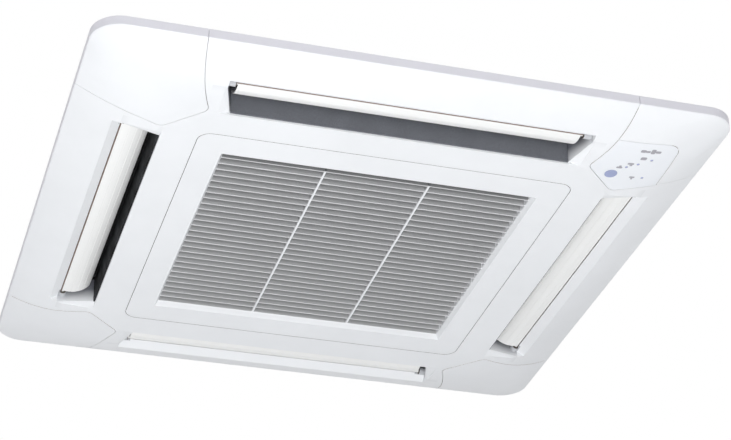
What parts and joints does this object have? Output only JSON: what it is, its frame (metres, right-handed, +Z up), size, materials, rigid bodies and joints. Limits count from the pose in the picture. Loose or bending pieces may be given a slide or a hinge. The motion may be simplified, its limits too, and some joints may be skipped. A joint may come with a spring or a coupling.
{
  "type": "ceiling cassette air conditioner",
  "caption": "Four-way ceiling cassette air conditioner with a square pillow fascia, curved swing louvres, drop-down intake grille, corner covers, turbo fan and coil.",
  "frame": {"origin": "centre of the ceiling plane, on top of the fascia's rim; the fascia hangs below it", "axes": "+Z up; the grille's latches face -Y and its hinge is at +Y; the receiver is at the corner with +X and -Y"},
  "size_m": [0.95, 0.95, 0.2777],
  "materials": {
    "white_abs": "satin white moulded plastic",
    "white_louvre": "satin warm white moulded plastic",
    "grille_abs": "satin white moulded plastic",
    "window_abs": "satin white receiver window",
    "lamp": "pale lavender lamp lens",
    "button": "pale lavender push button",
    "circuit_board": "green solder mask with dark parts",
    "nylon": "natural nylon",
    "dark_plastic": "black plastic",
    "grey_foam": "slate grey closed-cell foam",
    "white_foam": "white expanded foam",
    "black_foam": "black expanded foam",
    "galvanised": "galvanised sheet steel",
    "steel": "zinc-plated steel",
    "fins": "aluminium fins",
    "copper": "copper tube",
    "brass": "bare brass",
    "fan_plastic": "grey-white moulded fan",
    "motor_paint": "dark enamelled motor shell",
    "rubber": "black rubber",
    "filter_net": "dark woven net",
    "hose": "pale flexible hose"
  },
  "bodies": {
    "unit": {"fascia": "white_abs", "outlet_liners": "grey_foam", "outlet_seals": "grey_foam", "louvre_bushes": "dark_plastic", "louvre_motors": "galvanised", "motor_screws": "steel", "grille_hinge_pins": "steel", "latch_bodies": "dark_plastic", "cabinet_sides": "galvanised", "cabinet_top": "galvanised", "cabinet_screws": "steel", "cabinet_liner": "white_foam", "drain_pan": "black_foam", "panel_screws": "steel", "bell_mouth": "dark_plastic", "bell_mouth_screws": "steel", "heat_exchanger": "fins", "coil_end_plates": "galvanised", "coil_bends": "copper", "fan_motor": "motor_paint", "motor_bushes": "rubber", "motor_bracket": "galvanised", "motor_nuts": "steel", "gas_pipe": "copper", "liquid_pipe": "copper", "flare_nuts": "brass", "pipe_plate": "galvanised", "drain_pump": "dark_plastic", "drain_hose": "hose", "drain_socket": "nylon", "float_switch": "nylon", "hanger_brackets": "galvanised", "cable_grommet": "rubber", "control_box": "galvanised", "control_board": "circuit_board", "terminal_block": "nylon", "control_box_cover": "galvanised", "control_box_screws": "steel"},
    "louvre_near": {"louvre_near": "white_louvre"},
    "louvre_right": {"louvre_right": "white_louvre"},
    "louvre_far": {"louvre_far": "white_louvre"},
    "louvre_left": {"louvre_left": "white_louvre"},
    "corner_cover_near": {"corner_cover_near": "white_abs", "receiver_window": "window_abs", "receiver_board": "circuit_board", "indicator_lamps": "lamp"},
    "corner_cover_right": {"corner_cover_right": "white_abs"},
    "corner_cover_far": {"corner_cover_far": "white_abs"},
    "corner_cover_left": {"corner_cover_left": "white_abs"},
    "emergency_button": {"emergency_button": "button"},
    "intake_grille": {"intake_grille": "grille_abs"},
    "filter": {"filter_frame": "dark_plastic", "filter_mesh": "filter_net"},
    "latch_plunger_left": {"latch_plunger_left": "nylon"},
    "latch_plunger_right": {"latch_plunger_right": "nylon"},
    "fan": {"turbo_fan": "fan_plastic", "fan_shaft": "steel", "fan_nut": "brass"}
  },
  "joints": [
    {"name": "louvre_near_swing", "type": "hinge", "parent": "unit", "child": "louvre_near", "pos_m": [0, -0.3945, -0.0251], "axis": [1, 0, 0], "range_deg": [-38, 22]},
    {"name": "louvre_right_swing", "type": "hinge", "parent": "unit", "child": "louvre_right", "pos_m": [0.3945, 0, -0.0251], "axis": [0, 1, 0], "range_deg": [-38, 22]},
    {"name": "louvre_far_swing", "type": "hinge", "parent": "unit", "child": "louvre_far", "pos_m": [0, 0.3945, -0.0251], "axis": [-1, 0, 0], "range_deg": [-38, 22]},
    {"name": "louvre_left_swing", "type": "hinge", "parent": "unit", "child": "louvre_left", "pos_m": [-0.3945, 0, -0.0251], "axis": [0, -1, 0], "range_deg": [-38, 22]},
    {"name": "corner_cover_near_slide", "type": "slide", "parent": "unit", "child": "corner_cover_near", "axis": [0, 0, -1], "range_m": [0, 0.025]},
    {"name": "corner_cover_right_slide", "type": "slide", "parent": "unit", "child": "corner_cover_right", "axis": [0, 0, -1], "range_m": [0, 0.025]},
    {"name": "corner_cover_far_slide", "type": "slide", "parent": "unit", "child": "corner_cover_far", "axis": [0, 0, -1], "range_m": [0, 0.025]},
    {"name": "corner_cover_left_slide", "type": "slide", "parent": "unit", "child": "corner_cover_left", "axis": [0, 0, -1], "range_m": [0, 0.025]},
    {"name": "emergency_button_press", "type": "slide", "parent": "corner_cover_near", "child": "emergency_button", "axis": [0, 0, 1], "range_m": [0, 0.0006], "stiffness_N_per_m": 1500},
    {"name": "intake_grille_swing", "type": "hinge", "parent": "unit", "child": "intake_grille", "pos_m": [0, 0.315, -0.04], "axis": [1, 0, 0], "range_deg": [0, 90]},
    {"name": "filter_lift", "type": "slide", "parent": "intake_grille", "child": "filter", "axis": [0, 0, 1], "range_m": [0, 0.012]},
    {"name": "latch_left_press", "type": "slide", "parent": "unit", "child": "latch_plunger_left", "axis": [0, 0, 1], "range_m": [0, 0.003], "stiffness_N_per_m": 800},
    {"name": "latch_right_press", "type": "slide", "parent": "unit", "child": "latch_plunger_right", "axis": [0, 0, 1], "range_m": [0, 0.003], "stiffness_N_per_m": 800},
    {"name": "turbo_fan_spin", "type": "hinge", "parent": "unit", "child": "fan", "pos_m": [0, 0, 0.15], "axis": [0, 0, 1], "continuous": true}
  ]
}
